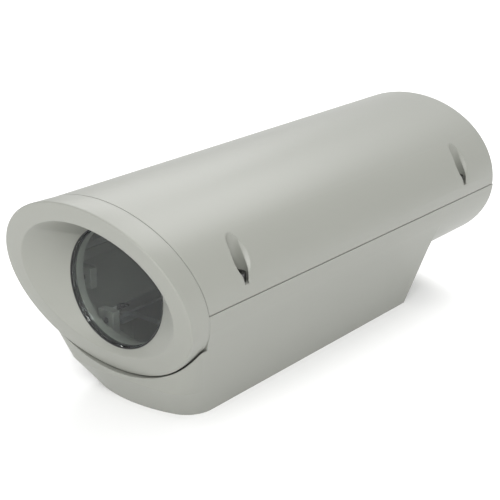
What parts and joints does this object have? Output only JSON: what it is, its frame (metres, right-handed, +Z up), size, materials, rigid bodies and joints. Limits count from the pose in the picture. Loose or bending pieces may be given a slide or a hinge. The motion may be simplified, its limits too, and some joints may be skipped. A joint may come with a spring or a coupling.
{
  "type": "security camera housing",
  "caption": "Outdoor fixed-camera housing: oval cast tube on a hollow foot, hinged cover with lock screws, slanted hood round a flat window, sliding tray, glands.",
  "frame": {"origin": "centre of the bracket bolt pattern in the flat underside of the foot", "axes": "+Z up, the window faces -Y, +X is the side with the lock screws, the hinges are on -X"},
  "size_m": [0.1391, 0.3271, 0.1266],
  "materials": {
    "body_paint": "satin powder coat on die-cast aluminium",
    "black_rubber": "matt",
    "window_glass": "clear flat glass",
    "stainless_steel": "turned stainless steel",
    "sheet_steel": "zinc-plated sheet",
    "tray_aluminium": "brushed sheet",
    "heater_aluminium": "gold anodised extrusion",
    "screw_steel": "bright machined",
    "black_plastic": "moulded",
    "grey_plastic": "moulded light grey polyamide",
    "board_laminate": "green solder mask",
    "block_plastic": "moulded green polyamide",
    "brass": "machined"
  },
  "bodies": {
    "base": {"lower_body": "body_paint", "front_hood": "body_paint", "hood_gasket": "black_rubber", "body_gasket": "black_rubber", "window_gasket": "black_rubber", "gland_seals": "black_rubber", "gland_washers": "black_rubber", "window_glass": "window_glass", "hood_screws": "stainless_steel", "hinge_pins": "stainless_steel", "rail_screws": "stainless_steel", "board_screws": "stainless_steel", "heater_screws": "stainless_steel", "earth_washer": "stainless_steel", "earth_screw": "stainless_steel", "tray_rail_right": "sheet_steel", "tray_rail_left": "sheet_steel", "window_heater": "heater_aluminium", "gland_bodies": "grey_plastic", "gland_caps": "grey_plastic", "gland_nuts": "grey_plastic", "terminal_board": "board_laminate", "terminal_blocks": "block_plastic", "board_standoffs": "brass", "bracket_inserts": "brass"},
    "cover": {"upper_cover": "body_paint"},
    "lock_ring_front": {"lock_ring_front": "stainless_steel"},
    "lock_ring_rear": {"lock_ring_rear": "stainless_steel"},
    "lock_screw_front": {"lock_screw_front": "stainless_steel"},
    "lock_screw_rear": {"lock_screw_rear": "stainless_steel"},
    "tray": {"camera_tray": "tray_aluminium"},
    "bush": {"camera_bush": "black_plastic"},
    "camera_screw": {"camera_screw": "screw_steel"}
  },
  "joints": [
    {"name": "cover_hinge", "type": "hinge", "parent": "base", "child": "cover", "pos_m": [-0.0695, 0, 0.07275], "axis": [0, -1, 0], "range_deg": [0, 105]},
    {"name": "lock_lift_front", "type": "slide", "parent": "cover", "child": "lock_ring_front", "axis": [0, 0, 1], "range_m": [0, 0.00699]},
    {"name": "lock_turn_front", "type": "hinge", "parent": "lock_ring_front", "child": "lock_screw_front", "pos_m": [0.058, -0.0891, 0.0728], "axis": [0, 0, 1], "range_deg": [0, 3150]},
    {"name": "lock_lift_rear", "type": "slide", "parent": "cover", "child": "lock_ring_rear", "axis": [0, 0, 1], "range_m": [0, 0.00699]},
    {"name": "lock_turn_rear", "type": "hinge", "parent": "lock_ring_rear", "child": "lock_screw_rear", "pos_m": [0.058, 0.1371, 0.0728], "axis": [0, 0, 1], "range_deg": [0, 3150]},
    {"name": "tray_slide", "type": "slide", "parent": "base", "child": "tray", "axis": [0, 1, 0], "range_m": [-0.009, 0.009]},
    {"name": "camera_bush_slide", "type": "slide", "parent": "tray", "child": "bush", "axis": [0, 1, 0], "range_m": [-0.048, 0.048]},
    {"name": "camera_screw_turn", "type": "hinge", "parent": "bush", "child": "camera_screw", "pos_m": [0, -0.01, 0.0346], "axis": [0, 0, 1], "continuous": true}
  ],
  "couplings": [
    {"joint": "lock_turn_front", "follows": "lock_lift_front", "rad_per_m": 7854},
    {"joint": "lock_turn_rear", "follows": "lock_lift_rear", "rad_per_m": 7854}
  ]
}
